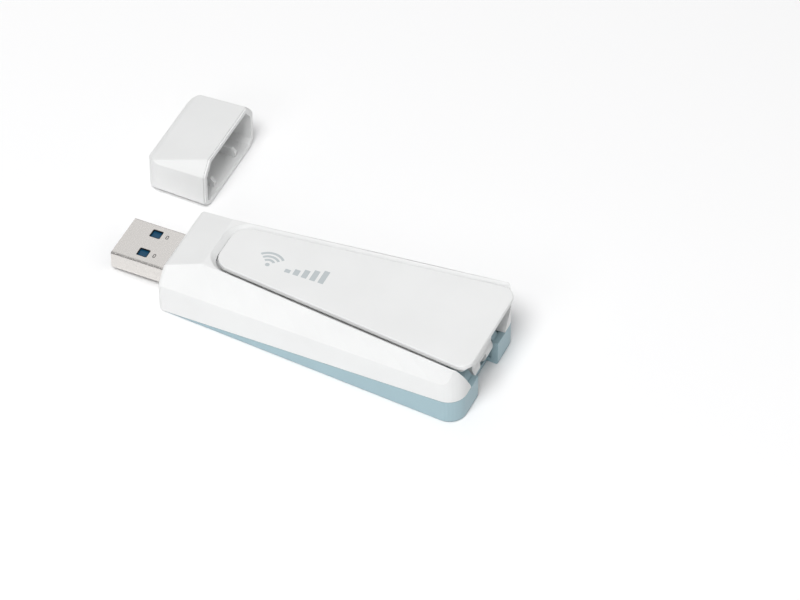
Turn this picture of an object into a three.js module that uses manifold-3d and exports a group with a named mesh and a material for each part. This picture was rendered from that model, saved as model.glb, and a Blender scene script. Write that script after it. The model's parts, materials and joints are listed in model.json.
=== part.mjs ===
// USB wifi adapter: a tapered white housing on a slanted blue base, a USB type A plug with a loose cap,
// and a flat antenna flap that lies in the top of the housing and turns on a pin at the rear.
//
// Sizes are in millimetres. Everything is drawn in the plug's frame: X runs from the plug to the hinge,
// Z is up, and the plug's axis is the line y = 0, z = 0. The front of the housing is the plane x = 0.
// At the end the whole frame is turned so that the underside of the base lies flat on z = 0.

import * as THREE from 'three';
import { mergeGeometries, mergeVertices } from 'three/addons/utils/BufferGeometryUtils.js';
import Module from 'manifold-3d';

const wasm = await Module();
wasm.setup();

// ---------------------------------------------------------------- driving dimensions

// Housing
const BODY_LENGTH = 71.5;          // front plane to rear end
const FRONT_HALF_WIDTH = 12.0;     // half width of the housing at the front
const REAR_HALF_WIDTH = 15.25;     // half width of the housing at the rear
const REAR_CORNER = 4.0;           // upright corners at the rear
const FRONT_ROUND = 1.0;           // rounding all around the front
const BOTTOM_ROUND = 0.5;          // rounding along the underside
const CREASE_ROUND = 0.5;
const RIM_ROUND = 0.15;            // both edges of the rim
const FRONT_DROP = 3.65;           // plug axis down to the underside, at the front
const FRONT_RISE = 7.1;            // plug axis up to the top, at the front
const FRONT_FACET = 2.8;           // width of the slope beside the flat top, at the front
const RIM_HEIGHT = 9.4;            // plug axis up to the rim around the flap
const RIM_WIDTH = 0.37;            // width of the rim
const RIM_BEVEL = 0.6;             // width of the slope inside the rim
const RIM_BEVEL_DEPTH = 1.0;
const TIP_BEVEL = 0.45;            // the slope is this much wider at the flap's tip
const CREASE_FRONT = 3.7;          // height of the crease above each side wall, at the front
const CREASE_REAR = 4.95;          // and at the rear
const SHELL_WALL = 1.5;            // side, front and end walls
const ROOF_WALL = 1.4;             // top wall, under the flap
const BASE_PLATE = 1.2;            // bottom wall
const SEAM = 0.12;                 // gap between the two halves of the housing
const BASE_SLOPE = THREE.MathUtils.degToRad(1.92);   // underside against the plug axis
const WEDGE_REAR = 6.1;            // height of the blue wall at the rear
const WEDGE_START = 1.2;           // the blue wall starts this far behind the front
const STATION = 12.0;              // the origin lies on the underside, this far behind the front

const LABEL_CENTRE = 38.0;         // rating label in the underside, behind the front
const LABEL_SIZE = [30, 14];
const LABEL_SHEET = 0.12;
const LABEL_SINK = 0.3;            // depth of the room for the label

// Plug, to the USB type A standard
const PLUG_WIDTH = 12.0;
const PLUG_HEIGHT = 4.5;
const PLUG_SHEET = 0.32;
const PLUG_CORNER = 0.55;
const PLUG_REACH = 14.25;          // length in front of the housing
const PLUG_ROOT = 4.6;             // length inside the housing
const PLUG_CLEARANCE = 0.15;       // between the plug and the hole in the housing
const WINDOW_SETBACK = 5.16;
const WINDOW_LENGTH = 2.5;
const WINDOW_WIDTH = 2.4;
const WINDOW_OFFSET = 3.1;         // window centres from the plug's middle
const WINDOW_CORNER = 0.3;
const DIMPLE_SETBACK = 2.6;        // stamped ovals behind the window centres
const DIMPLE_SIZE = [0.62, 1.15];  // length along the plug and width across it
const DIMPLE_LINE = 0.16;          // width of the stamped line
const DIMPLE_DEPTH = 0.12;
const NEARLY_HALF = 0.49;          // corner radius of an oval with nearly round ends, against its width
const TONGUE_HEIGHT = 1.75;
const TONGUE_GAP = 0.12;
const TONGUE_SETBACK = 0.6;
const PLUG_BLOCK_LENGTH = 6.4;     // the moulded block that closes the plug at its root
const CONTACT_SHEET = 0.2;
const CONTACT_GAP = 0.04;
const PAD_WIDTH = 1.0;
const TAIL_WIDTH = 0.4;
const TAIL_REACH = 1.8;            // contact tails behind the plug's shell
const NEAR_PITCHES = [-3.5, -1.0, 1.0, 3.5];
const FAR_PITCHES = [-4.0, -2.0, 0.0, 2.0, 4.0];

// Flap
const FLAP_TIP_X = 10.45;
const FLAP_OVERHANG = 1.05;        // the flap reaches this far past the rear of the housing
const FLAP_TIP_HALF = 6.2;
const FLAP_SIDE_MARGIN = 2.05;     // the flap's end is narrower than the housing by this, on each side
const FLAP_TIP_CORNER = 4.0;
const FLAP_END_CORNER = 3.0;
const FLAP_PROUD = 0.16;           // the closed flap's face stands above the rim
const FLAP_COVER = 1.0;            // outer cover
const FLAP_ROUND = 0.3;            // rounding of the outer cover's upper edge
const FLAP_SEAM = 0.12;            // gap between the covers
const FLAP_BACK = 2.48;            // inner cover
const FLAP_BACK_EDGE = 0.45;       // upright part of the inner cover's edge
const FLAP_INSET = 0.5;            // the inner cover stands back from the outer one
const FLAP_CHAMFER = 1.5;          // width of the inner cover's sloped border
const FLAP_WALL = 1.6;             // wall around the pocket in each cover
const FLAP_GAP = 0.5;              // between the closed flap and the housing

// Hinge
const HINGE_SETBACK = 3.6;         // hinge axis in front of the rear end
const HINGE_Z = -0.69;
const PIN_RADIUS = 1.0;
const PIN_CLEARANCE = 0.05;
const KNUCKLE_RADIUS = 2.5;
const KNUCKLE_HALF = 4.9;
const KNUCKLE_CLEARANCE = 0.35;
const ARM_THICKNESS = 4.2;
const CABLE_SLOT_HALF = 1.55;
const PIN_INNER = 1.9;             // each pin starts this far from the middle
const WASHER_SHEET = 0.3;
const WASHER_RADIUS = 2.1;
const WASHER_GAP = 0.12;
const LEAF_SHEET = 0.25;
const LEAF_REACH = 3.5;            // from the hinge axis to the leaf's foot
const LEAF_CREST = [-1.7, -0.5];   // the part of the leaf that meets the knuckle, from the axis
const BOSS_WIDTH = 2.4;
const BOSS_RADIUS = 2.4;
const NOTCH_CLEARANCE = 0.3;
const BAY_REACH = 3.7;             // the open bay starts this far in front of the hinge axis
const BAY_WALL = 1.3;
const BAY_CLEARANCE = 0.86;        // beside the hinge bosses, where the halves meet

// Electronics
const BOARD_SHEET = 0.8;
const BOARD_TOP = -0.85;
const BOARD_SIDE_ROOM = 1.1;       // between the board and the side walls
const BOARD_FRONT_ROOM = 0.3;      // between the plug and the board
const BOARD_REAR_ROOM = 2.5;       // behind the board, where the cables bend
const POST_PLACES = [20, 40];      // posts under the board, behind the front
const PART_GAP = 0.06;             // solder and glue lines
const CAN_START = 12.0;
const CAN_LENGTH = 24.0;
const CAN_SIDE_ROOM = 1.1;         // between the can and the board's edge
const CAN_HEIGHT = 2.4;
const CAN_SHEET = 0.2;
const CHIP_SIZE = 9.0;
const CHIP_HEIGHT = 0.9;
const SOCKET_SETBACK = 9.4;        // antenna sockets in front of the board's rear edge
const SOCKET_OFFSET = 3.6;         // and from the middle
const SOCKET_SIZE = 2.6;
const SOCKET_HEIGHT = 0.6;
const COAX_PLUG_HEIGHT = 0.9;
const COAX_RADIUS = 0.42;
const COAX_PITCH = 0.62;           // each cable from the middle, in the hinge

// Cap
const CAP_LENGTH = 15.1;
const CAP_TOP_SLOPE = 0.24;        // fall of the cap's top towards its closed end
const CAP_WALL = 1.25;
const CAP_END_WALL = 0.9;          // closed end
const CAP_FLOOR = 1.3;             // bottom wall
const CAP_DROP = 2.3;              // the cap is this much deeper than the front of the housing
const CAP_FOOT_FACET = 1.85;       // slope along both lower edges, as high as it is wide
const CAP_CORNER = 4.2;            // upright corners at the closed end
const CAP_END_ROUND = 1.8;         // rounding around the closed end
const CAP_BOTTOM_ROUND = 0.4;
const CAP_REBATE = 0.3;            // the last stretch before the mouth stands back by this
const CAP_REBATE_LENGTH = 0.4;
const CAP_SEAT = 0.3;              // gap to the housing when the cap is on
const CAP_RIB = 0.9;
const CAP_RIB_OFFSET = 3.9;        // ribs that hang over the plug
const CAP_RIB_SETBACK = 4.5;       // and end this far inside the mouth
const CAP_REST_OFFSET = 5.2;       // ribs that stand under the plug
const CAP_REST_SETBACK = 1.1;
const CAP_GRIP = 0.12;             // between the ribs and the plug
const CAP_ASIDE = 31.3;            // the loose cap lies this far to the side
const CAP_AHEAD = 4.0;             // and this far ahead of where it seats

// Steps of the round stretches
const CORNER_STEPS = 8;
const EDGE_STEPS = 3;
const ROUND_STEPS = 32;
const FACET_STEPS = 10;

// ---------------------------------------------------------------- lines that several parts share

const lerp = THREE.MathUtils.lerp;

const undersideZ = (x) => -FRONT_DROP - Math.tan(BASE_SLOPE) * x;
const partingRise = WEDGE_REAR / BODY_LENGTH;
const frontTopHalf = FRONT_HALF_WIDTH - FRONT_FACET;
const flapEndX = BODY_LENGTH + FLAP_OVERHANG;
const flapEndHalf = REAR_HALF_WIDTH - FLAP_SIDE_MARGIN;
const flapTop = RIM_HEIGHT + FLAP_PROUD;
const hingeX = BODY_LENGTH - HINGE_SETBACK;
const bayFront = hingeX - BAY_REACH;
const partingZ = (x) => undersideZ(x) + partingRise * x;
const bodyHalf = (x) => lerp(FRONT_HALF_WIDTH, REAR_HALF_WIDTH, x / BODY_LENGTH);
const creaseZ = (x) => lerp(CREASE_FRONT, CREASE_REAR, x / BODY_LENGTH);
const flapHalf = (x) => lerp(FLAP_TIP_HALF, flapEndHalf, (x - FLAP_TIP_X) / (flapEndX - FLAP_TIP_X));
const rimHalf = (x) => flapHalf(x) + FLAP_GAP + RIM_BEVEL + RIM_WIDTH;
const rampEnd = FLAP_TIP_X - FLAP_GAP - RIM_BEVEL - TIP_BEVEL - RIM_WIDTH;
const topHalf = (x) => (x < rampEnd ? lerp(frontTopHalf, rimHalf(rampEnd), x / rampEnd) : rimHalf(x));
const topZ = (x) => Math.min(RIM_HEIGHT, lerp(FRONT_RISE, RIM_HEIGHT, x / rampEnd));

const flapSeamZ = flapTop - FLAP_COVER;
const flapBackTop = flapSeamZ - FLAP_SEAM;
const flapBackZ = flapBackTop - FLAP_BACK;
const recessFloor = flapBackZ - FLAP_GAP;
const cavityTop = recessFloor - ROOF_WALL;
const washerInner = KNUCKLE_HALF + WASHER_GAP;
const bossInner = washerInner + WASHER_SHEET + WASHER_GAP;
const bossOuter = bossInner + BOSS_WIDTH;
const bayHalfLow = bossOuter + BAY_CLEARANCE;
const pinBore = PIN_RADIUS + PIN_CLEARANCE;
const notchHalf = KNUCKLE_HALF + NOTCH_CLEARANCE;
const plugTip = -PLUG_REACH;
const tongueTop = PLUG_HEIGHT / 2 - PLUG_SHEET - TONGUE_GAP;
const tongueLow = tongueTop - TONGUE_HEIGHT;
const contactTop = tongueLow - CONTACT_GAP;
const boardStart = PLUG_ROOT + BOARD_FRONT_ROOM;
const boardEnd = bayFront - BAY_WALL - BOARD_REAR_ROOM;
const boardHalf = FRONT_HALF_WIDTH - SHELL_WALL - BOARD_SIDE_ROOM;
const canEnd = CAN_START + CAN_LENGTH;
const canHalf = boardHalf - CAN_SIDE_ROOM;

// ---------------------------------------------------------------- solids and booleans

// A closed mesh as a solid, turned so that its faces point out.
function solid(geometry) {
  const bare = geometry.index ? geometry.toNonIndexed() : geometry.clone();
  bare.deleteAttribute('normal');
  bare.deleteAttribute('uv');
  const merged = mergeVertices(bare, 1e-4);
  const vertProperties = new Float32Array(merged.attributes.position.array);
  const triVerts = new Uint32Array(merged.index.array);
  if (signedVolume(vertProperties, triVerts) < 0) {
    triVerts.reverse();
  }
  return new wasm.Manifold(new wasm.Mesh({ numProp: 3, vertProperties, triVerts }));
}

function signedVolume(points, triangles) {
  const corner = (i) => new THREE.Vector3().fromArray(points, 3 * triangles[i]);
  let volume = 0;
  for (let i = 0; i < triangles.length; i += 3) {
    volume += corner(i).dot(corner(i + 1).cross(corner(i + 2))) / 6;
  }
  return volume;
}

function toGeometry(body) {
  const mesh = body.getMesh();
  const geometry = new THREE.BufferGeometry();
  geometry.setAttribute('position', new THREE.BufferAttribute(new Float32Array(mesh.vertProperties), 3));
  geometry.setIndex(new THREE.BufferAttribute(new Uint32Array(mesh.triVerts), 1));
  geometry.computeVertexNormals();
  return geometry;
}

const join = (first, ...others) => others.reduce((sum, other) => sum.add(other), first);
const cut = (first, ...others) => others.reduce((rest, other) => rest.subtract(other), first);

function block([x0, x1], [y0, y1], [z0, z1]) {
  const geometry = new THREE.BoxGeometry(x1 - x0, y1 - y0, z1 - z0);
  return solid(geometry.translate((x0 + x1) / 2, (y0 + y1) / 2, (z0 + z1) / 2));
}

// A round bar along Y.
function bar(radius, x, z, [y0, y1], steps = ROUND_STEPS) {
  const geometry = new THREE.CylinderGeometry(radius, radius, y1 - y0, steps);
  return solid(geometry.translate(x, (y0 + y1) / 2, z));
}

// An outline in XY, pushed up from z0 to z1.
function uprightPrism(outline, [z0, z1]) {
  const shape = new THREE.Shape(outline);
  const geometry = new THREE.ExtrudeGeometry(shape, { depth: z1 - z0, bevelEnabled: false });
  return solid(geometry.translate(0, 0, z0));
}

// An upright pillar with round corners: its centre, its size along X and Y, and its lowest and highest z.
function pillar([x, y], [sizeX, sizeY], radius, span) {
  const outline = taperedOutline([x - sizeX / 2, sizeY / 2, radius], [x + sizeX / 2, sizeY / 2, radius]);
  return uprightPrism(outline.map((point) => new THREE.Vector2(point.x, point.y + y)), span);
}

// An outline in XZ, given as [x, z] pairs, pushed along Y.
function sidePrism(outline, [y0, y1]) {
  const shape = new THREE.Shape(outline.map(([x, z]) => new THREE.Vector2(x, z)));
  const geometry = new THREE.ExtrudeGeometry(shape, { depth: y1 - y0, bevelEnabled: false });
  return solid(geometry.rotateX(Math.PI / 2).translate(0, y1, 0));
}

// An outline in YZ, given as [y, z] pairs, pushed along X.
function crossPrism(outline, [x0, x1]) {
  const shape = new THREE.Shape(outline.map(([y, z]) => new THREE.Vector2(y, z)));
  const geometry = new THREE.ExtrudeGeometry(shape, { depth: x1 - x0, bevelEnabled: false });
  geometry.rotateX(Math.PI / 2).rotateZ(Math.PI / 2);
  return solid(geometry.translate(x0, 0, 0));
}

// A skin through rings of 3-D points, all with the same count, closed at both ends.
function loft(rings) {
  const count = rings[0].length;
  const positions = rings.flat().flatMap((point) => [point.x, point.y, point.z]);
  const index = [];
  for (let ring = 0; ring + 1 < rings.length; ring += 1) {
    for (let i = 0; i < count; i += 1) {
      const a = ring * count + i;
      const b = ring * count + (i + 1) % count;
      index.push(a, b, b + count, a, b + count, a + count);
    }
  }
  const last = (rings.length - 1) * count;
  for (let i = 1; i + 1 < count; i += 1) {
    index.push(0, i + 1, i);
    index.push(last, last + i, last + i + 1);
  }
  const geometry = new THREE.BufferGeometry();
  geometry.setAttribute('position', new THREE.Float32BufferAttribute(positions, 3));
  geometry.setIndex(index);
  return solid(geometry);
}

// A tube of round section along a smooth route of [x, y, z] points.
function tube(points, radius) {
  const route = new THREE.CatmullRomCurve3(points.map((point) => new THREE.Vector3(...point)));
  const section = new THREE.Shape();
  section.absarc(0, 0, radius, 0, 2 * Math.PI);
  return solid(new THREE.ExtrudeGeometry(section, { steps: 20, curveSegments: 4, extrudePath: route }));
}

// ---------------------------------------------------------------- outlines

// A convex outline through [x, y, radius] corners, taken counter-clockwise, with round corners. A corner
// of no radius is one point, so outlines with the same kinds of corner have the same number of points.
function roundedOutline(corners, steps = CORNER_STEPS) {
  const count = corners.length;
  const points = corners.map(([x, y]) => new THREE.Vector2(x, y));
  return corners.flatMap(([, , radius], i) => {
    const here = points[i];
    if (radius === 0) {
      return [here];
    }
    const back = points[(i + count - 1) % count].clone().sub(here).normalize();
    const ahead = points[(i + 1) % count].clone().sub(here).normalize();
    const halfAngle = Math.acos(back.dot(ahead)) / 2;
    const centre = back.clone().add(ahead).normalize().multiplyScalar(radius / Math.sin(halfAngle)).add(here);
    const start = back.multiplyScalar(radius / Math.tan(halfAngle)).add(here).sub(centre).angle();
    const turn = Math.PI - 2 * halfAngle;
    return Array.from({ length: steps + 1 }, (_, step) => {
      const angle = start + turn * (step / steps);
      return new THREE.Vector2(centre.x + radius * Math.cos(angle), centre.y + radius * Math.sin(angle));
    });
  });
}

// A four-cornered outline, symmetric about y = 0: [x, half width, radius] for the low and the high end.
function taperedOutline([x0, half0, radius0], [x1, half1, radius1]) {
  const right = [[x0, -half0, radius0], [x1, -half1, radius1]];
  const left = [[x1, half1, radius1], [x0, half0, radius0]];
  return roundedOutline([...right, ...left]);
}

// The places and insets of the rings that round an edge: [distance past the end, inset].
function quarterRound(radius, steps = EDGE_STEPS) {
  return Array.from({ length: steps + 1 }, (_, step) => {
    const angle = (Math.PI / 2) * (step / steps);
    return [radius * (1 - Math.cos(angle)), radius * (1 - Math.sin(angle))];
  });
}

// The housing's plan outline, moved inward by inset, from x0 to x1.
function bodyOutline(inset, x0 = inset, x1 = BODY_LENGTH - inset) {
  const rearCorner = Math.max(REAR_CORNER - inset, 0.2);
  return taperedOutline([x0, bodyHalf(x0) - inset, 0.2], [x1, bodyHalf(x1) - inset, rearCorner]);
}

// The flap's plan outline, moved outward by grow, and by tipGrow more at the tip.
function flapOutline(grow, tipGrow = 0) {
  const x0 = FLAP_TIP_X - grow - tipGrow;
  const x1 = flapEndX + grow;
  return taperedOutline(
    [x0, flapHalf(x0) + grow, FLAP_TIP_CORNER + grow],
    [x1, flapHalf(x1) + grow, FLAP_END_CORNER + grow],
  );
}

const atHeight = (outline, z) => outline.map((point) => new THREE.Vector3(point.x, point.y, z));
const overUnderside = (outline, lift) => outline
  .map((point) => new THREE.Vector3(point.x, point.y, undersideZ(point.x) + lift));

// A box-like section with rounded corners in YZ, between x0 and x1.
function roundedTube([x0, x1], halfY, halfZ, radius) {
  const outline = taperedOutline([-halfZ, halfY, radius], [halfZ, halfY, radius]);
  return loft([x0, x1].map((x) => outline.map((point) => new THREE.Vector3(x, point.y, point.x))));
}

// ---------------------------------------------------------------- materials

function material(color, roughness, metalness = 0) {
  return new THREE.MeshStandardMaterial({ color, roughness, metalness });
}

const WHITE = material(0xf0f1f1, 0.45);
const BLUE = material(0xa9c4cd, 0.45);
const NICKEL = material(0xd8d4cf, 0.3, 1);
const TONGUE_BLUE = material(0x0a5a92, 0.5);
const GOLD = material(0xd8b25a, 0.3, 1);
const STEEL = material(0xb9bcc0, 0.35, 1);
const BOARD_GREEN = material(0x1f5a3a, 0.5);
const BLACK = material(0x202224, 0.6);
const PAD_GREY = material(0x9aa0a8, 0.9);
const PAPER = material(0xe8e8e4, 0.8);

const adapter = new THREE.Group();
const frame = new THREE.Group();
const capFrame = new THREE.Group();
const capPlace = new THREE.Group();

function add(name, body, look, parent = frame) {
  const mesh = new THREE.Mesh(toGeometry(body), look);
  mesh.name = name;
  parent.add(mesh);
}

// ---------------------------------------------------------------- housing

// One section of a body with a flat top, sloped shoulders and upright sides, moved inward by inset.
// Heights and half widths are [low, crease, top] and [side, flat top]; the rounds are [foot, crease, top].
function shoulderedRing(x, [low, crease, top], [side, flat], [footRound, creaseRound, topRound], inset) {
  const half = side - inset;
  const upper = top - inset;
  const right = [
    [half, low, footRound],
    [half, Math.min(crease, upper - topRound), creaseRound],
    [flat, upper, topRound],
  ];
  const left = right.map(([y, z, radius]) => [-y, z, radius]).reverse();
  return roundedOutline([...right, ...left], EDGE_STEPS).map((point) => new THREE.Vector3(x, point.x, point.y));
}

// The housing's outer form above the parting line: a row of sections from front to rear.
function upperForm() {
  const front = quarterRound(FRONT_ROUND);
  const stations = [...front, [rampEnd, 0]];
  for (let i = 1; i <= FACET_STEPS; i += 1) {
    stations.push([lerp(rampEnd, BODY_LENGTH, i / FACET_STEPS), 0]);
  }
  const rings = stations.map(([x, inset]) => shoulderedRing(
    x,
    [partingZ(x) + SEAM + inset, creaseZ(x), topZ(x)],
    [bodyHalf(x), topHalf(x) - inset / 2],
    [0, CREASE_ROUND, RIM_ROUND],
    inset,
  ));
  return loft(rings).intersect(uprightPrism(bodyOutline(0, -1), [-2 * FRONT_RISE, 2 * RIM_HEIGHT]));
}

// The room that the closed flap lies in: the flap's form with a gap all round, and a slope up to a
// rounded rim.
function flapRoom() {
  const foot = flapOutline(FLAP_GAP - FLAP_INSET - FLAP_CHAMFER);
  const side = flapOutline(FLAP_GAP);
  const mouth = FLAP_GAP + RIM_BEVEL;
  const flare = quarterRound(RIM_ROUND).reverse().map(([inset, drop]) => (
    atHeight(flapOutline(mouth + RIM_ROUND - inset, TIP_BEVEL), RIM_HEIGHT - RIM_ROUND + drop)
  ));
  const wide = flapOutline(mouth + RIM_ROUND, TIP_BEVEL);
  const sideLow = flapBackTop - FLAP_BACK_EDGE - FLAP_GAP;
  return loft([
    atHeight(foot, recessFloor), atHeight(side, sideLow), atHeight(side, RIM_HEIGHT - RIM_BEVEL_DEPTH),
    ...flare, atHeight(wide, 2 * RIM_HEIGHT),
  ]);
}

// The open bay at the rear for the hinge, as wide as the flap's room at the rim and narrower where the
// halves meet.
function hingeBay() {
  const rings = [bayFront, BODY_LENGTH + SHELL_WALL].map((x) => {
    const side = [
      [bayHalfLow, partingZ(bayFront) - SHELL_WALL],
      [bayHalfLow, partingZ(BODY_LENGTH)],
      [flapHalf(x) + FLAP_GAP + RIM_BEVEL, RIM_HEIGHT],
    ];
    const mirrored = side.map(([y, z]) => [-y, z]).reverse();
    return [...side, ...mirrored].map(([y, z]) => new THREE.Vector3(x, y, z));
  });
  return loft(rings);
}

function topShell() {
  const depth = [2 * undersideZ(BODY_LENGTH), cavityTop];
  const cavity = uprightPrism(bodyOutline(SHELL_WALL, SHELL_WALL, bayFront - BAY_WALL), depth);
  const halfY = PLUG_WIDTH / 2 + PLUG_CLEARANCE;
  const halfZ = PLUG_HEIGHT / 2 + PLUG_CLEARANCE;
  const plugHole = roundedTube([-SHELL_WALL, 2 * SHELL_WALL], halfY, halfZ, PLUG_CORNER + PLUG_CLEARANCE);
  return cut(upperForm(), cavity, plugHole, flapRoom(), hingeBay(), cableSlot());
}

// The slot that lets the antenna cables into the bay.
function cableSlot() {
  const x = [bayFront - 2 * BAY_WALL, bayFront + 1];
  return block(x, [-CABLE_SLOT_HALF, CABLE_SLOT_HALF], [HINGE_Z - 2 * COAX_RADIUS, HINGE_Z + 2 * COAX_RADIUS]);
}

// The slab between two slanted lines, as tall as the given heights above the underside.
function slantedSlab([x0, x1], lowAt, highAt) {
  const side = [[x0, lowAt(x0)], [x1, lowAt(x1)], [x1, highAt(x1)], [x0, highAt(x0)]];
  return sidePrism(side, [-2 * REAR_HALF_WIDTH, 2 * REAR_HALF_WIDTH]);
}

function hingeBoss(sign) {
  const span = [sign * bossInner, sign * bossOuter].sort((a, b) => a - b);
  const foot = undersideZ(hingeX) + BASE_PLATE / 2;
  const post = block([hingeX - BOSS_RADIUS, hingeX + BOSS_RADIUS], span, [foot, HINGE_Z]);
  const round = bar(BOSS_RADIUS, hingeX, HINGE_Z, span);
  return cut(join(post, round), bar(pinBore, hingeX, HINGE_Z, [span[0] - 1, span[1] + 1]));
}

function baseShell() {
  const plateTop = (x) => undersideZ(x) + BASE_PLATE;
  const tall = [2 * undersideZ(BODY_LENGTH), RIM_HEIGHT];
  const reach = [WEDGE_START, BODY_LENGTH];
  const edge = quarterRound(BOTTOM_ROUND).map(([lift, inset]) => overUnderside(bodyOutline(inset, 0), lift));
  const wedge = loft([...edge, overUnderside(bodyOutline(0, 0), 2 * WEDGE_REAR)])
    .intersect(slantedSlab(reach, () => 2 * undersideZ(BODY_LENGTH), partingZ));
  const inside = SHELL_WALL + SEAM;
  const room = uprightPrism(bodyOutline(SHELL_WALL), tall);
  const walls = cut(wedge, room.intersect(slantedSlab([0, BODY_LENGTH], plateTop, () => RIM_HEIGHT)));
  const plate = uprightPrism(bodyOutline(inside), tall).intersect(slantedSlab(reach, undersideZ, plateTop));

  const bulkheadX = [bayFront - BAY_WALL, bayFront];
  const bulkheadTop = (x) => partingZ(x) - SEAM;
  const bulkhead = uprightPrism(bodyOutline(inside), tall)
    .intersect(slantedSlab(bulkheadX, (x) => undersideZ(x) + BASE_PLATE / 2, bulkheadTop));
  const posts = POST_PLACES.flatMap((x) => [-1, 1].map((sign) => {
    const y = sign * (boardHalf - SHELL_WALL);
    const top = BOARD_TOP - BOARD_SHEET - PART_GAP;
    return block([x - 1, x + 1], [y - 0.8, y + 0.8], [undersideZ(x) + BASE_PLATE / 2, top]);
  }));
  const shell = join(walls, plate, bulkhead, ...posts, hingeBoss(-1), hingeBoss(1));

  const armNotch = block([hingeX + ARM_THICKNESS / 4, BODY_LENGTH + 1], [-notchHalf, notchHalf], tall);
  return cut(shell, armNotch, cableSlot(), labelRoom());
}

// A shallow room in the underside, drawn square to the underside.
function labelSlab(grow, [depth0, depth1]) {
  const [length, width] = LABEL_SIZE;
  const x0 = LABEL_CENTRE - length / 2 - grow;
  const x1 = LABEL_CENTRE + length / 2 + grow;
  const outline = [[x0, undersideZ(x0) + depth0], [x1, undersideZ(x1) + depth0],
    [x1, undersideZ(x1) + depth1], [x0, undersideZ(x0) + depth1]];
  return sidePrism(outline, [-width / 2 - grow, width / 2 + grow]);
}

const labelRoom = () => labelSlab(PLUG_CLEARANCE, [-1, LABEL_SINK]);
const ratingLabel = () => labelSlab(0, [LABEL_SINK - LABEL_SHEET - PART_GAP, LABEL_SINK - PART_GAP]);

// ---------------------------------------------------------------- plug

function usbShell() {
  const span = [plugTip, PLUG_ROOT];
  const outer = roundedTube(span, PLUG_WIDTH / 2, PLUG_HEIGHT / 2, PLUG_CORNER);
  const bore = roundedTube(
    [span[0] - 1, span[1] + 1],
    PLUG_WIDTH / 2 - PLUG_SHEET,
    PLUG_HEIGHT / 2 - PLUG_SHEET,
    PLUG_CORNER - PLUG_SHEET,
  );
  const windowX = plugTip + WINDOW_SETBACK + WINDOW_LENGTH / 2;
  const windowSize = [WINDOW_LENGTH, WINDOW_WIDTH];
  const windows = [-1, 1].map((sign) => (
    pillar([windowX, sign * WINDOW_OFFSET], windowSize, WINDOW_CORNER, [-PLUG_HEIGHT, PLUG_HEIGHT])
  ));
  const dimples = [-1, 1].flatMap((sign) => {
    const place = [windowX + DIMPLE_SETBACK, sign * WINDOW_OFFSET];
    const inner = DIMPLE_SIZE.map((size) => size - 2 * DIMPLE_LINE);
    const face = PLUG_HEIGHT / 2;
    return [[face - DIMPLE_DEPTH, face + 1], [-face - 1, DIMPLE_DEPTH - face]].map((depth) => cut(
      pillar(place, DIMPLE_SIZE, NEARLY_HALF * DIMPLE_SIZE[0], depth),
      pillar(place, inner, NEARLY_HALF * inner[0], depth),
    ));
  });
  return cut(outer, bore, ...windows, ...dimples);
}

// The moulded tongue along the top of the plug, with the block behind it that carries the contacts.
function usbTongue() {
  const half = PLUG_WIDTH / 2 - PLUG_SHEET - TONGUE_GAP;
  const tongue = block([plugTip + TONGUE_SETBACK, PLUG_ROOT], [-half, half], [tongueLow, tongueTop]);
  const core = block([PLUG_ROOT - PLUG_BLOCK_LENGTH, PLUG_ROOT], [-half, half], [-tongueTop, tongueTop]);
  const slots = [
    ...NEAR_PITCHES.map((y) => contactSlot(y, contactTop)),
    ...FAR_PITCHES.map((y) => contactSlot(y, farLevel + CONTACT_SHEET)),
  ];
  return cut(join(tongue, core), ...slots);
}

const tailZ = BOARD_TOP + PART_GAP;
const farLevel = tailZ;

// The room around one contact inside the moulded block.
function contactSlot(y, top) {
  const half = TAIL_WIDTH / 2 + CONTACT_GAP;
  const x = [PLUG_ROOT - PLUG_BLOCK_LENGTH - 1, PLUG_ROOT + 1];
  return block(x, [y - half, y + half], [farLevel - CONTACT_GAP, top + CONTACT_GAP]);
}

// A flat contact of the first row: a wide pad on the tongue and a narrow tail down to the board.
function nearContact(y) {
  const low = contactTop - CONTACT_SHEET;
  const padX = [plugTip + 2 * TONGUE_SETBACK, plugTip + PLUG_REACH / 2];
  const pad = block(padX, [y - PAD_WIDTH / 2, y + PAD_WIDTH / 2], [low, contactTop]);
  const bend = PLUG_ROOT + TAIL_REACH / 3;
  const tail = sidePrism([
    [padX[1] - 1, low], [bend - CONTACT_SHEET, low], [bend - CONTACT_SHEET, tailZ],
    [PLUG_ROOT + TAIL_REACH, tailZ], [PLUG_ROOT + TAIL_REACH, tailZ + CONTACT_SHEET],
    [bend, tailZ + CONTACT_SHEET], [bend, contactTop], [padX[1] - 1, contactTop],
  ], [y - TAIL_WIDTH / 2, y + TAIL_WIDTH / 2]);
  return join(pad, tail);
}

// A sprung contact of the second row, set deeper in the plug.
function farContact(y) {
  const start = PLUG_ROOT - PLUG_BLOCK_LENGTH - 3;
  const crest = contactTop - 1.2 * CONTACT_SHEET;
  const high = farLevel + CONTACT_SHEET;
  return sidePrism([
    [start, crest - 2 * CONTACT_SHEET], [start + 0.8, crest - CONTACT_SHEET], [start + 2, farLevel],
    [PLUG_ROOT + TAIL_REACH, farLevel], [PLUG_ROOT + TAIL_REACH, high],
    [start + 2.2, high], [start + 0.8, crest], [start, crest - CONTACT_SHEET],
  ], [y - TAIL_WIDTH / 2, y + TAIL_WIDTH / 2]);
}

// ---------------------------------------------------------------- flap and hinge

function outerCover() {
  const edge = quarterRound(FLAP_ROUND).map(([drop, inset]) => atHeight(flapOutline(-inset), flapTop - drop));
  const plate = loft([atHeight(flapOutline(0), flapSeamZ), ...edge.reverse()]);
  const pocket = uprightPrism(flapOutline(-FLAP_WALL), [flapSeamZ - 1, flapSeamZ + FLAP_COVER / 3]);
  return cut(plate, pocket);
}

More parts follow.
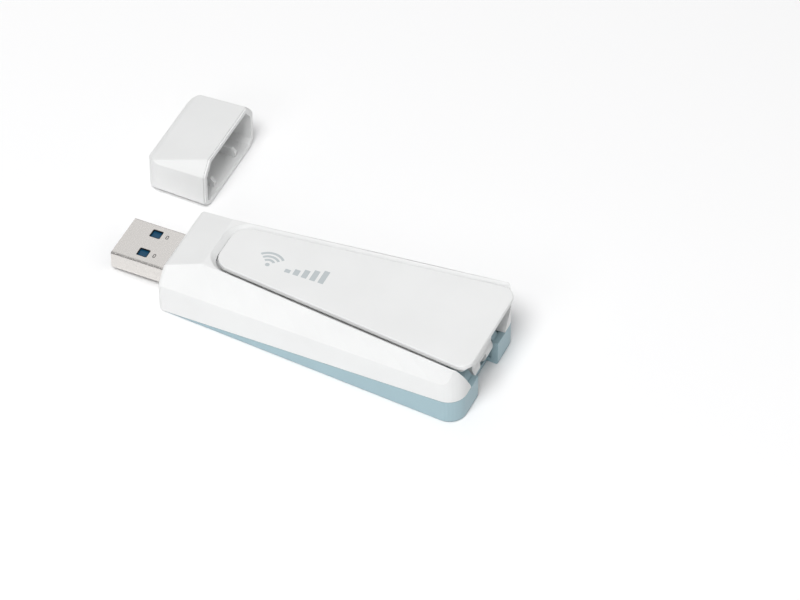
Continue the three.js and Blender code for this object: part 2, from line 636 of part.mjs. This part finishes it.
function innerCover() {
  const low = atHeight(flapOutline(-FLAP_INSET - FLAP_CHAMFER), flapBackZ);
  const side = flapOutline(-FLAP_INSET);
  const plate = loft([low, atHeight(side, flapBackTop - FLAP_BACK_EDGE), atHeight(side, flapBackTop)]);
  const floor = flapBackZ + FLAP_BACK / 2;
  const pocket = uprightPrism(flapOutline(-FLAP_INSET - FLAP_WALL), [floor, flapTop]);

  const width = [-KNUCKLE_HALF, KNUCKLE_HALF];
  const armX = [hingeX - ARM_THICKNESS / 2, hingeX + ARM_THICKNESS / 2];
  const arm = block(armX, width, [HINGE_Z, flapBackZ + FLAP_BACK / 4]);
  const knuckle = bar(KNUCKLE_RADIUS, hingeX, HINGE_Z, width);
  const slot = [-CABLE_SLOT_HALF, CABLE_SLOT_HALF];
  const reach = 2 * KNUCKLE_RADIUS;
  const lowRoom = block([hingeX - reach, hingeX + reach], slot, [HINGE_Z - reach, HINGE_Z + KNUCKLE_RADIUS / 3]);
  const channel = block([hingeX - ARM_THICKNESS / 4, hingeX + ARM_THICKNESS / 4], slot, [HINGE_Z, flapTop]);
  const bore = bar(pinBore, hingeX, HINGE_Z, [width[0] - 1, width[1] + 1]);
  return cut(join(cut(plate, pocket), arm, knuckle), lowRoom, channel, bore);
}

function antennaBoard() {
  const floor = flapBackZ + FLAP_BACK / 2 + PART_GAP;
  const plate = uprightPrism(flapOutline(-FLAP_INSET - FLAP_WALL - PLUG_CLEARANCE), [floor, floor + BOARD_SHEET]);
  const behind = [hingeX - ARM_THICKNESS, flapEndX];
  return cut(plate, block(behind, [-REAR_HALF_WIDTH, REAR_HALF_WIDTH], [floor - 1, flapTop]));
}

function hingePin(sign) {
  const span = [sign * PIN_INNER, sign * (bossOuter + PIN_CLEARANCE)].sort((a, b) => a - b);
  return bar(PIN_RADIUS, hingeX, HINGE_Z, span);
}

function frictionWasher(sign) {
  const span = [sign * washerInner, sign * (washerInner + WASHER_SHEET)].sort((a, b) => a - b);
  const disc = bar(WASHER_RADIUS, hingeX, HINGE_Z, span);
  return cut(disc, bar(pinBore, hingeX, HINGE_Z, [span[0] - 1, span[1] + 1]));
}

// A thin bent strip under the knuckle that clicks into its flats.
function detentLeaf() {
  const crest = HINGE_Z - KNUCKLE_RADIUS - PLUG_CLEARANCE;
  const crestX = LEAF_CREST.map((x) => hingeX + x);
  const start = hingeX - LEAF_REACH;
  const foot = undersideZ(start) + BASE_PLATE + PART_GAP;
  const outline = [
    [start, foot], [start + 0.8, foot],
    [crestX[0] + LEAF_SHEET, crest - LEAF_SHEET], [crestX[1], crest - LEAF_SHEET],
    [crestX[1], crest], [crestX[0], crest], [start + 0.7, foot + LEAF_SHEET], [start, foot + LEAF_SHEET],
  ];
  return sidePrism(outline, [CABLE_SLOT_HALF + PLUG_CLEARANCE, KNUCKLE_HALF - PLUG_CLEARANCE]);
}

// ---------------------------------------------------------------- electronics

function onBoard([x0, x1], [y0, y1], height) {
  const low = BOARD_TOP + PART_GAP;
  return block([x0, x1], [y0, y1], [low, low + height]);
}

function mainBoard() {
  const low = BOARD_TOP - BOARD_SHEET;
  return block([boardStart, boardEnd], [-boardHalf, boardHalf], [low, BOARD_TOP]);
}

function shieldCan() {
  const outer = onBoard([CAN_START, canEnd], [-canHalf, canHalf], CAN_HEIGHT);
  const low = BOARD_TOP - 1;
  const top = BOARD_TOP + PART_GAP + CAN_HEIGHT - CAN_SHEET;
  const half = canHalf - CAN_SHEET;
  return cut(outer, block([CAN_START + CAN_SHEET, canEnd - CAN_SHEET], [-half, half], [low, top]));
}

const chipX = CAN_START + CAN_LENGTH / 2;
const socketX = boardEnd - SOCKET_SETBACK;

function wifiChip() {
  const half = CHIP_SIZE / 2;
  return onBoard([chipX - half, chipX + half], [-half, half], CHIP_HEIGHT);
}

function thermalPad() {
  const half = CHIP_SIZE / 2 - PLUG_CLEARANCE;
  const low = BOARD_TOP + CHIP_HEIGHT + 2 * PART_GAP;
  const top = BOARD_TOP + CAN_HEIGHT - CAN_SHEET;
  return block([chipX - half, chipX + half], [-half, half], [low, top]);
}

function coaxSocket(sign) {
  const y = sign * SOCKET_OFFSET;
  const half = SOCKET_SIZE / 2;
  return onBoard([socketX - half, socketX + half], [y - half, y + half], SOCKET_HEIGHT);
}

function coaxPlug(sign) {
  const radius = SOCKET_SIZE / 2;
  const low = BOARD_TOP + 2 * PART_GAP + SOCKET_HEIGHT;
  const disc = new THREE.CylinderGeometry(radius, radius, COAX_PLUG_HEIGHT, 20).rotateX(Math.PI / 2);
  return solid(disc.translate(socketX, sign * SOCKET_OFFSET, low + COAX_PLUG_HEIGHT / 2));
}

function bodyCoax(sign) {
  const z = BOARD_TOP + 2 * PART_GAP + SOCKET_HEIGHT + COAX_PLUG_HEIGHT / 2;
  const start = socketX + SOCKET_SIZE / 2 + PART_GAP;
  return tube([
    [start, sign * SOCKET_OFFSET, z],
    [start + 3, sign * SOCKET_OFFSET * 0.8, z],
    [boardEnd - 1, sign * COAX_PITCH * 1.6, z],
    [boardEnd + 2, sign * COAX_PITCH, HINGE_Z + 0.25],
    [bayFront, sign * COAX_PITCH, HINGE_Z],
    [hingeX - 1.4 * COAX_RADIUS, sign * COAX_PITCH, HINGE_Z],
  ], COAX_RADIUS);
}

function flapCoax(sign) {
  const floor = flapBackZ + FLAP_BACK / 2;
  const end = hingeX - ARM_THICKNESS;
  return tube([
    [hingeX, sign * COAX_PITCH, HINGE_Z + 1.2 * COAX_RADIUS],
    [hingeX, sign * COAX_PITCH, floor - 1.6],
    [hingeX - 0.35, sign * COAX_PITCH, floor - 0.2],
    [hingeX - 1.0, sign * COAX_PITCH, floor + COAX_RADIUS + 0.45],
    [end + PART_GAP, sign * COAX_PITCH, floor + COAX_RADIUS + 0.3],
  ], COAX_RADIUS);
}

// ---------------------------------------------------------------- cap

const capMouth = -CAP_SEAT;
const capEnd = capMouth - CAP_LENGTH;

// The cap's form, moved inward by inset, through [x, extra inset] stations. It carries the housing's front
// section on ahead, with its sides and top running on, and with a slope along each lower edge.
function capForm(inset, stations, floor = inset, [footRound, creaseRound] = [0, 0]) {
  const sideSlope = (frontTopHalf - rimHalf(rampEnd)) / rampEnd;
  const mitre = Math.SQRT2 - 1;
  return loft(stations.map(([x, extra]) => {
    const all = inset + extra;
    const half = FRONT_HALF_WIDTH - all;
    const flat = Math.min(frontTopHalf - sideSlope * x, FRONT_HALF_WIDTH - RIM_ROUND) - all / 2;
    const top = FRONT_RISE + CAP_TOP_SLOPE * x - all;
    const bottom = undersideZ(x) - CAP_DROP;
    const right = [
      [FRONT_HALF_WIDTH - CAP_FOOT_FACET - mitre * all, bottom + floor + extra, footRound],
      [half, bottom + CAP_FOOT_FACET + mitre * all, footRound],
      [half, Math.min(CREASE_FRONT - inset / 2, top - creaseRound), creaseRound],
      [flat, top, creaseRound],
    ];
    const left = right.map(([y, z, radius]) => [-y, z, radius]).reverse();
    return roundedOutline([...right, ...left], EDGE_STEPS).map((point) => new THREE.Vector3(x, point.x, point.y));
  }));
}

// The cap's plan, moved inward by inset, with round corners at the closed end.
function capPlan(inset, endInset = inset) {
  return uprightPrism(taperedOutline(
    [capEnd + endInset, FRONT_HALF_WIDTH - inset, Math.max(CAP_CORNER - inset, 0.3)],
    [capMouth + 2, FRONT_HALF_WIDTH - inset, 0.3],
  ), [-2 * FRONT_RISE, 2 * FRONT_RISE]);
}

// Two upright ribs along the cap, at the given offset, with a sloped front corner.
function capRibs(offset, setback, foot, edge) {
  const x0 = capEnd + CAP_END_WALL / 2;
  const x1 = capMouth - setback;
  const slope = Math.sign(foot - edge) * CAP_RIB;
  const side = [[x0, foot], [x0, edge], [x1 - CAP_RIB, edge], [x1, edge + slope], [x1, foot]];
  return [-1, 1].map((sign) => {
    const y = sign * offset;
    return sidePrism(side, [y - CAP_RIB / 2, y + CAP_RIB / 2]);
  });
}

function capShell() {
  const closedEdge = quarterRound(CAP_END_ROUND).map(([past, inset]) => [capEnd + past, inset]);
  const rebateX = capMouth - CAP_REBATE_LENGTH;
  const lip = [[rebateX, 0], [rebateX, CAP_REBATE], [capMouth, CAP_REBATE]];
  const outer = capForm(0, [...closedEdge, ...lip], 0, [CAP_BOTTOM_ROUND, CREASE_ROUND]).intersect(capPlan(0));
  const through = [[capEnd, 0], [capMouth + 1, 0]];
  const room = capForm(CAP_WALL, through, CAP_FLOOR, [CAP_BOTTOM_ROUND, CREASE_ROUND])
    .intersect(capPlan(CAP_WALL, CAP_END_WALL));

  const gripZ = PLUG_HEIGHT / 2 + CAP_GRIP;
  const ribs = [
    ...capRibs(CAP_RIB_OFFSET, CAP_RIB_SETBACK, FRONT_RISE, gripZ),
    ...capRibs(CAP_REST_OFFSET, CAP_REST_SETBACK, undersideZ(0) - CAP_DROP, -gripZ),
  ];
  const within = capForm(CAP_WALL / 2, [[capEnd, 0], [capMouth, 0]], CAP_FLOOR / 2)
    .intersect(capPlan(CAP_WALL / 2, CAP_END_WALL / 2));
  return join(cut(outer, room), join(...ribs).intersect(within));
}

// ---------------------------------------------------------------- assembly

const SIDES = [['left', 1], ['right', -1]];

add('top_shell', topShell(), WHITE);
add('base_shell', baseShell(), BLUE);
add('rating_label', ratingLabel(), PAPER);

add('usb_shell', usbShell(), NICKEL);
add('usb_tongue', usbTongue(), TONGUE_BLUE);
NEAR_PITCHES.forEach((y, i) => add(`usb_contact_${i + 1}`, nearContact(y), GOLD));
FAR_PITCHES.forEach((y, i) => add(`usb_contact_${NEAR_PITCHES.length + i + 1}`, farContact(y), GOLD));

add('main_board', mainBoard(), BOARD_GREEN);
add('shield_can', shieldCan(), STEEL);
add('wifi_chip', wifiChip(), BLACK);
add('thermal_pad', thermalPad(), PAD_GREY);
add('flash_chip', onBoard([canEnd + 3, canEnd + 8], [-6.5, -2.5], 0.8), BLACK);
add('power_inductor', onBoard([canEnd + 3, canEnd + 6], [2.5, 5.5], 1.2), BLACK);
add('crystal', onBoard([CAN_START - 4.4, CAN_START - 1.2], [5.0, 7.5], 0.7), STEEL);

add('flap_outer_cover', outerCover(), WHITE);
add('flap_inner_cover', innerCover(), WHITE);
add('antenna_board', antennaBoard(), BOARD_GREEN);
add('detent_leaf', detentLeaf(), STEEL);
SIDES.forEach(([side, sign]) => {
  add(`hinge_pin_${side}`, hingePin(sign), STEEL);
  add(`friction_washer_${side}`, frictionWasher(sign), STEEL);
  add(`coax_socket_${side}`, coaxSocket(sign), GOLD);
  add(`coax_plug_${side}`, coaxPlug(sign), GOLD);
  add(`coax_body_${side}`, bodyCoax(sign), BLACK);
  add(`coax_flap_${side}`, flapCoax(sign), BLACK);
});
add('cap_shell', capShell(), WHITE, capFrame);

// Both frames are turned about the origin on the underside, so that the base lies flat. The loose cap
// lies beside the housing, turned the same way and raised so that it lies on the same surface.
for (const turned of [frame, capFrame]) {
  const origin = new THREE.Vector3(STATION, 0, undersideZ(STATION));
  turned.rotation.y = -BASE_SLOPE;
  turned.position.copy(origin.applyEuler(turned.rotation).negate());
}
capPlace.position.set(-CAP_AHEAD, CAP_ASIDE, CAP_DROP * Math.cos(BASE_SLOPE));
capPlace.add(capFrame);
adapter.add(frame, capPlace);

export default adapter;
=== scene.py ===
"""Looks of a USB wifi adapter: satin white and blue mouldings, a nickel plug, and studio light."""

import json
import math

import bmesh
import bpy
from mathutils import Matrix, Vector


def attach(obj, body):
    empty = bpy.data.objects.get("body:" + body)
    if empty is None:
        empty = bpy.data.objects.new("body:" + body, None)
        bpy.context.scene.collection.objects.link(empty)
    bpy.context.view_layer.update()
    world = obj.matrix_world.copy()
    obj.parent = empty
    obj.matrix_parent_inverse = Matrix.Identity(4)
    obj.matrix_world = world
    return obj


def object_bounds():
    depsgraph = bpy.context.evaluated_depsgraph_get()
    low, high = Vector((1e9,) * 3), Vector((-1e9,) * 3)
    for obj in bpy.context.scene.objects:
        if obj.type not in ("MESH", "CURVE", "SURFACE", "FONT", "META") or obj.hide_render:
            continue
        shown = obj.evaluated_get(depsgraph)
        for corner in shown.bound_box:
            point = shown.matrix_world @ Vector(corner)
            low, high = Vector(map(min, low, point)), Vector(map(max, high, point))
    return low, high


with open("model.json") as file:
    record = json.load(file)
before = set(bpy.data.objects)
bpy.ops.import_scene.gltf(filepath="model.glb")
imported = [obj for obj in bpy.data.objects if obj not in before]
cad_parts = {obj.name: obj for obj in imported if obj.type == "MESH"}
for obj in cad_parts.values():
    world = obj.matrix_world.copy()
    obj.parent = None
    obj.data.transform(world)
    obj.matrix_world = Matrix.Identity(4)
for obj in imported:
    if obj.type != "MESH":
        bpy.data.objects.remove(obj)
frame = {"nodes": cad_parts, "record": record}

MM = 0.001
CAD_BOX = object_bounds()

# ------------------------------------------------------------------ the plug's frame
# Sizes below are in millimetres in the plug's frame: X from the plug to the hinge, the front of the
# housing at x = 0 and the plug's axis at y = 0, z = 0. The row's frame is that one turned by BASE_SLOPE.

BASE_SLOPE = math.radians(1.92)
STATION = 12.0                 # the row's origin lies this far behind the front of the housing
FRONT_DROP = 3.65              # and the underside lies this far below the plug's axis at the front
TURN = Matrix.Rotation(-BASE_SLOPE, 3, "Y")
ORIGIN = Vector((STATION, 0, -FRONT_DROP - math.tan(BASE_SLOPE) * STATION))


def place(x, y, z):
    """A point of the plug's frame, in millimetres, as a point of the row's frame, in metres."""
    return TURN @ (Vector((x, y, z)) - ORIGIN) * MM


def add_object(name, data):
    """A new object of the scene, which holds the given mesh, light or camera."""
    thing = bpy.data.objects.new(name, data)
    bpy.context.scene.collection.objects.link(thing)
    return thing


def finished_mesh(bm, name):
    mesh = bpy.data.meshes.new(name)
    bm.to_mesh(mesh)
    bm.free()
    return mesh


# ------------------------------------------------------------------ materials
# Noise scales are in cells per metre. A swing is what the grain adds to the roughness, low and high.

CLOUD_SCALE, CLOUD_DETAIL = 90.0, 3.0
CLOUD_STOPS = (0.35, 0.65)
CLOUD_SHADE = 0.975            # the clouds' darker colour, as a share of the colour
MOULD_SCALE, MOULD_DETAIL = 5200.0, 2.0
MOULD_SWING = (-0.06, 0.08)
MOULD_BUMP = 0.35
PLASTIC_IOR = 1.46
ROLLED_SCALE, ROLLED_DETAIL = 3600.0, 3.0
ROLLED_SHADE = 0.91
ROLLED_SWING = (-0.04, 0.05)
ROLLED_BUMP = 0.15
GRAIN_STOPS = (0.3, 0.7)


def new_material(name, color, roughness, metallic=0.0):
    material = bpy.data.materials.new(name)
    material.use_nodes = True
    shader = material.node_tree.nodes["Principled BSDF"]
    shader.inputs["Base Color"].default_value = (*color, 1)
    shader.inputs["Roughness"].default_value = roughness
    shader.inputs["Metallic"].default_value = metallic
    return material, material.node_tree, shader


def object_noise(tree, scale, detail):
    coords = tree.nodes.new("ShaderNodeTexCoord")
    noise = tree.nodes.new("ShaderNodeTexNoise")
    noise.inputs["Scale"].default_value = scale
    noise.inputs["Detail"].default_value = detail
    tree.links.new(coords.outputs["Object"], noise.inputs["Vector"])
    return noise.outputs["Fac"]


def ramp(tree, value, stops, colors):
    """The value turned into a colour, which goes from the first colour to the second between two stops."""
    node = tree.nodes.new("ShaderNodeValToRGB")
    for element, stop, color in zip(node.color_ramp.elements, stops, colors):
        element.position = stop
        element.color = (*color, 1)
    tree.links.new(value, node.inputs["Fac"])
    return node.outputs["Color"]


def shaded(color, share):
    return tuple(channel * share for channel in color)


def grey(level):
    return (level, level, level)


def add_grain(tree, shader, fine, roughness, swing, depth, strength):
    """Let a fine noise change the gloss, and emboss it to a depth in millimetres."""
    levels = [grey(roughness + change) for change in swing]
    tree.links.new(ramp(tree, fine, GRAIN_STOPS, levels), shader.inputs["Roughness"])
    bump = tree.nodes.new("ShaderNodeBump")
    bump.inputs["Distance"].default_value = depth * MM
    bump.inputs["Strength"].default_value = strength
    tree.links.new(fine, bump.inputs["Height"])
    tree.links.new(bump.outputs["Normal"], shader.inputs["Normal"])


def moulded_plastic(name, color, roughness=0.42, grain=0.02):
    """Satin moulded plastic: a fine spark-eroded grain, with faint cloudy changes in its colour."""
    material, tree, shader = new_material(name, color, roughness)
    cloud = object_noise(tree, CLOUD_SCALE, CLOUD_DETAIL)
    tint = ramp(tree, cloud, CLOUD_STOPS, (shaded(color, CLOUD_SHADE), color))
    tree.links.new(tint, shader.inputs["Base Color"])
    fine = object_noise(tree, MOULD_SCALE, MOULD_DETAIL)
    add_grain(tree, shader, fine, roughness, MOULD_SWING, grain, MOULD_BUMP)
    shader.inputs["IOR"].default_value = PLASTIC_IOR
    return material


def plated_metal(name, color, roughness, grain):
    """Plated sheet: a fine grain in the colour and the gloss."""
    material, tree, shader = new_material(name, color, roughness, 1.0)
    fine = object_noise(tree, ROLLED_SCALE, ROLLED_DETAIL)
    tint = ramp(tree, fine, GRAIN_STOPS, (shaded(color, ROLLED_SHADE), color))
    tree.links.new(tint, shader.inputs["Base Color"])
    add_grain(tree, shader, fine, roughness, ROLLED_SWING, grain, ROLLED_BUMP)
    return material


WHITE = moulded_plastic("white_plastic", (0.80, 0.805, 0.803))
BLUE = moulded_plastic("blue_plastic", (0.35, 0.485, 0.535))
TONGUE = moulded_plastic("tongue_blue", (0.002, 0.058, 0.125), 0.4)
NICKEL = plated_metal("nickel_plate", (0.775, 0.75, 0.725), 0.24, 0.005)
GOLD = plated_metal("gold_plate", (0.86, 0.62, 0.27), 0.25, 0.004)
STEEL = plated_metal("bright_steel", (0.66, 0.67, 0.68), 0.3, 0.006)
GREEN = moulded_plastic("board_green", (0.015, 0.14, 0.055), 0.3, 0.008)
BLACK = moulded_plastic("black_resin", (0.02, 0.02, 0.022), 0.5)
# painted shade: a near-black colour for the shaded edges of the plug's windows and stamped ovals
PAINTED_SHADE = moulded_plastic("painted_shade_edge", (0.012, 0.013, 0.016), 0.6)
CABLE = moulded_plastic("cable_black", (0.02, 0.02, 0.02), 0.45)
PAD = moulded_plastic("thermal_pad", (0.30, 0.32, 0.36), 0.8)
PAPER = moulded_plastic("label_paper", (0.80, 0.80, 0.78), 0.65)
PRINT = moulded_plastic("print_grey", (0.50, 0.54, 0.555), 0.55)

LOOKS = {
    "white_plastic": WHITE, "blue_plastic": BLUE, "tongue_blue": TONGUE, "nickel_plate": NICKEL,
    "gold_plate": GOLD, "bright_steel": STEEL, "board_green": GREEN, "black_resin": BLACK,
    "cable_black": CABLE, "thermal_pad": PAD, "label_paper": PAPER,
}


def set_material(piece, material):
    piece.data.materials.clear()
    piece.data.materials.append(material)


for part in frame["record"]["subparts"]:
    set_material(frame["nodes"][part["node"]], LOOKS[part["material_slot"]])

# ------------------------------------------------------------------ soft moulded edges

FLAT_ANGLE = math.radians(0.4)         # faces closer in angle than this count as one flat face
SHARP_ANGLE = math.radians(32)         # edges sharper than this are rounded
ROUND_STEPS = 2
EDGE_ROUND = {
    "top_shell": 0.12, "base_shell": 0.12, "flap_outer_cover": 0.08, "flap_inner_cover": 0.15,
    "cap_shell": 0.1, "usb_shell": 0.07,
}


def round_edges(piece, width):
    """Small rounds on the sharp edges that the moulds leave, with the flat faces kept flat."""
    joined = piece.modifiers.new("flat_faces", "DECIMATE")
    joined.decimate_type = "DISSOLVE"
    joined.angle_limit = FLAT_ANGLE
    bevel = piece.modifiers.new("round_edges", "BEVEL")
    bevel.width = width * MM
    bevel.segments = ROUND_STEPS
    bevel.limit_method = "ANGLE"
    bevel.angle_limit = SHARP_ANGLE
    bevel.use_clamp_overlap = False
    weighted = piece.modifiers.new("flat_shading", "WEIGHTED_NORMAL")
    weighted.keep_sharp = True
    piece.data.shade_smooth()


for node, width in EDGE_ROUND.items():
    round_edges(frame["nodes"][node], width)

# ------------------------------------------------------------------ printed mark on the flap

FLAP_FACE = 9.56
PRINT_SHEET = 0.02
MARK_START = 18.0              # the mark runs along X from here
MARK_MIDDLE = -0.3             # and is centred here across the flap
MARK_HEIGHT = 4.6
MARK_FOOT = MARK_MIDDLE - MARK_HEIGHT / 2
ARC_STEPS = 20
DOT_RADIUS = 0.5
WAVE_MIDDLE = MARK_START + 0.72 * MARK_HEIGHT
WAVE_COUNT = 3
WAVE_FIRST = 1.15              # inner radius of the smallest wave
WAVE_PITCH = 1.05
WAVE_LINE = 0.58
WAVE_SPREAD = math.radians(47)         # to each side of straight up
BAR_COUNT = 5
BARS_START = MARK_START + 7.4
BAR_WIDTH = 1.25
BAR_PITCH = 1.95
BAR_RISE = MARK_HEIGHT / 6.4   # from each bar's height to the next
BAR_FIRST = 1.4 * BAR_RISE     # height of the lowest bar


def plate(bm, outline):
    """A thin printed plate with the given outline in the flap's plane, counter-clockwise."""
    low = [bm.verts.new(place(x, y, FLAP_FACE)) for x, y in outline]
    high = [bm.verts.new(place(x, y, FLAP_FACE + PRINT_SHEET)) for x, y in outline]
    bm.faces.new(high)
    bm.faces.new(low[::-1])
    for i in range(len(outline)):
        j = (i + 1) % len(outline)
        bm.faces.new((low[i], low[j], high[j], high[i]))


def arc(cx, cy, radius, start, end, steps=ARC_STEPS):
    angles = [start + (end - start) * i / steps for i in range(steps + 1)]
    return [(cx + radius * math.cos(a), cy + radius * math.sin(a)) for a in angles]


def wave_mark(bm):
    """Three waves over a dot."""
    cy = MARK_FOOT + DOT_RADIUS
    plate(bm, arc(WAVE_MIDDLE, cy, DOT_RADIUS, 0, 2 * math.pi)[:-1])
    start, end = math.pi / 2 - WAVE_SPREAD, math.pi / 2 + WAVE_SPREAD
    for i in range(WAVE_COUNT):
        inner = WAVE_FIRST + WAVE_PITCH * i
        outer = inner + WAVE_LINE
        plate(bm, arc(WAVE_MIDDLE, cy, outer, start, end) + arc(WAVE_MIDDLE, cy, inner, end, start))


def strength_bars(bm):
    """Five bars that grow."""
    for i in range(BAR_COUNT):
        near = BARS_START + BAR_PITCH * i
        far = near + BAR_WIDTH
        top = MARK_FOOT + BAR_FIRST + BAR_RISE * i
        plate(bm, [(near, MARK_FOOT), (far, MARK_FOOT), (far, top), (near, top)])


def make_print():
    bm = bmesh.new()
    wave_mark(bm)
    strength_bars(bm)
    piece = add_object("flap_print", finished_mesh(bm, "flap_print"))
    set_material(piece, PRINT)
    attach(piece, "flap")


make_print()

# ------------------------------------------------------------------ painted shade in the plug's punched windows and stamped ovals

PLUG_FACE = 2.25               # from the plug's middle plane
WINDOW_MIDDLE = -7.84          # along X
WINDOW_OFFSET = 3.1            # from the plug's axis to the middle of a window
WINDOW_HALF = (1.25, 1.2)      # half sizes along and across the plug
WINDOW_EDGE = 0.17             # width of the painted shade at a window's punched edge
WINDOW_CORNERS = (0.3, 0.3 - WINDOW_EDGE)      # outer and inner corner radius
WINDOW_DEPTHS = (0.30, 0.03)   # the painted shade's bottom and top, below the plug's face
OVAL_SETBACK = 2.6             # from a window's middle to the oval's
OVAL_HALF = (0.31, 0.575)
OVAL_SHADE_WIDTH = 0.155
OVAL_ROUND = 0.98              # corner radius as a share of the half width
OVAL_CORNERS = (OVAL_HALF[0] * OVAL_ROUND, (OVAL_HALF[0] - OVAL_SHADE_WIDTH) * OVAL_ROUND)
OVAL_DEPTHS = (0.115, 0.012)
CORNER_STEPS = 6


def round_box(cx, cy, half, radius):
    """A box with round corners, counter-clockwise: its middle and half sizes."""
    points = []
    for i, (sx, sy) in enumerate(((1, 1), (-1, 1), (-1, -1), (1, -1))):
        centre = (cx + sx * (half[0] - radius), cy + sy * (half[1] - radius))
        start = i * math.pi / 2
        points += arc(*centre, radius, start, start + math.pi / 2, CORNER_STEPS)
    return points


def ring_plate(bm, outer, inner, low, high):
    """A closed ring between two outlines with the same number of points, from low to high."""
    rings = [
        [bm.verts.new(place(x, y, z)) for x, y in outline]
        for outline, z in ((outer, low), (outer, high), (inner, high), (inner, low))
    ]
    count = len(outer)
    for k in range(4):
        near, far = rings[k], rings[(k + 1) % 4]
        for i in range(count):
            j = (i + 1) % count
            bm.faces.new((near[i], near[j], far[j], far[i]))


def painted_shade_line(bm, face, middle, half, line, corners, depths):
    """A closed ring of painted shade of the given width, just inside the plug's upper (1) or lower (-1)
    face.
    """
    inner_half = tuple(h - line for h in half)
    low, high = sorted(face * (PLUG_FACE - depth) for depth in depths)
    outer = round_box(*middle, half, corners[0])
    inner = round_box(*middle, inner_half, corners[1])
    ring_plate(bm, outer, inner, low, high)


def make_plug_painted_shade():
    """Painted shade: near-black rings at the edges of the windows and in the stamped ovals, on both faces
    of the plug.
    """
    bm = bmesh.new()
    for face in (1, -1):
        for side in (1, -1):
            window = (WINDOW_MIDDLE, side * WINDOW_OFFSET)
            oval = (WINDOW_MIDDLE + OVAL_SETBACK, side * WINDOW_OFFSET)
            painted_shade_line(bm, face, window, WINDOW_HALF, WINDOW_EDGE, WINDOW_CORNERS, WINDOW_DEPTHS)
            painted_shade_line(bm, face, oval, OVAL_HALF, OVAL_SHADE_WIDTH, OVAL_CORNERS, OVAL_DEPTHS)
    piece = add_object("plug_painted_shade", finished_mesh(bm, "plug_painted_shade"))
    set_material(piece, PAINTED_SHADE)
    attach(piece, "housing")


make_plug_painted_shade()

# ------------------------------------------------------------------ floor, light and camera

bpy.context.scene.view_settings.view_transform = "Standard"
CENTRE = (CAD_BOX[0] + CAD_BOX[1]) / 2
FLOOR_HALF = 3.0
FLOOR_COLOR = (0.955, 0.955, 0.958)
FLOOR_ROUGHNESS = 0.55
FLOOR_SPECULAR = 0.2
FLOOR_GAP = 0.00005            # the floor lies this far below the part, so that no faces coincide


def direction(turn, height):
    """The way from the object to a light or the camera, by its turn from -Y and its height in degrees."""
    turn, height = math.radians(turn), math.radians(height)
    return Vector((
        math.sin(turn) * math.cos(height),
        -math.cos(turn) * math.cos(height),
        math.sin(height),
    ))


def make_world(level, dark_level, dark_way, dark_stops):
    """An even white room with one dark patch, whose reflection draws the plug's edges."""
    world = bpy.data.worlds.new("studio")
    bpy.context.scene.world = world
    world.use_nodes = True
    tree = world.node_tree
    background = tree.nodes["Background"]
    coords = tree.nodes.new("ShaderNodeTexCoord")
    facing = tree.nodes.new("ShaderNodeVectorMath")
    facing.operation = "DOT_PRODUCT"
    facing.inputs[1].default_value = dark_way
    tree.links.new(coords.outputs["Generated"], facing.inputs[0])
    shade = ramp(tree, facing.outputs["Value"], dark_stops, (grey(level), grey(dark_level)))
    tree.links.new(shade, background.inputs["Color"])


def make_floor():
    mesh = bpy.data.meshes.new("floor")
    corners = [(x * FLOOR_HALF, y * FLOOR_HALF, 0) for x, y in ((-1, -1), (1, -1), (1, 1), (-1, 1))]
    mesh.from_pydata(corners, [], [(0, 1, 2, 3)])
    floor = add_object("floor", mesh)
    floor.location.z = -FLOOR_GAP
    material, _, shader = new_material("floor_paper", FLOOR_COLOR, FLOOR_ROUGHNESS)
    shader.inputs["Specular IOR Level"].default_value = FLOOR_SPECULAR
    set_material(floor, material)


def disk_light(name, share, size, distance, way):
    """A round soft light, given by how bright it makes a white sheet that faces it."""
    data = bpy.data.lights.new(name, "AREA")
    data.shape = "DISK"
    data.size = size
    data.energy = share * (math.pi * distance) ** 2
    light = add_object(name, data)
    light.location = CENTRE + way * distance
    light.rotation_euler = (-way).to_track_quat("-Z", "Y").to_euler()


make_floor()
make_world(level=0.42, dark_level=0.03, dark_way=direction(-24, 38), dark_stops=(0.84, 0.93))
disk_light("key", share=0.74, size=0.75, distance=1.6, way=direction(2, 60))
disk_light("low_key", share=0.10, size=0.6, distance=1.6, way=direction(-8, 32))
disk_light("far_card", share=0.05, size=0.7, distance=1.2, way=direction(200, 48))

# The camera is set in the plug's frame, by its turn about Z, its height angle and its roll in degrees,
# and its distance. The plug frame's origin lies to the left of and above the middle of the picture.
VIEW_TURN = 24.647
VIEW_HEIGHT = 44.819
VIEW_ROLL = 0.086
VIEW_DISTANCE = 958.06
VIEW_AIM = Vector((46.51, -8.28))      # from the plug frame's origin to the aim, right and up
LENS_MM = 201.1
NEAREST_SEEN = 0.01                    # in metres


def make_camera():
    back = direction(VIEW_TURN, VIEW_HEIGHT)
    level = direction(VIEW_TURN + 90, 0)
    right = Matrix.Rotation(-math.radians(VIEW_ROLL), 3, back) @ level
    up = back.cross(right)
    eye = right * VIEW_AIM.x + up * VIEW_AIM.y + back * VIEW_DISTANCE
    data = bpy.data.cameras.new("camera")
    data.lens = LENS_MM
    data.clip_start = NEAREST_SEEN
    camera = add_object("camera", data)
    axes = Matrix([TURN @ right, TURN @ up, TURN @ back]).transposed()
    camera.matrix_world = Matrix.Translation(place(*eye)) @ axes.to_4x4()
    bpy.context.scene.camera = camera


make_camera()
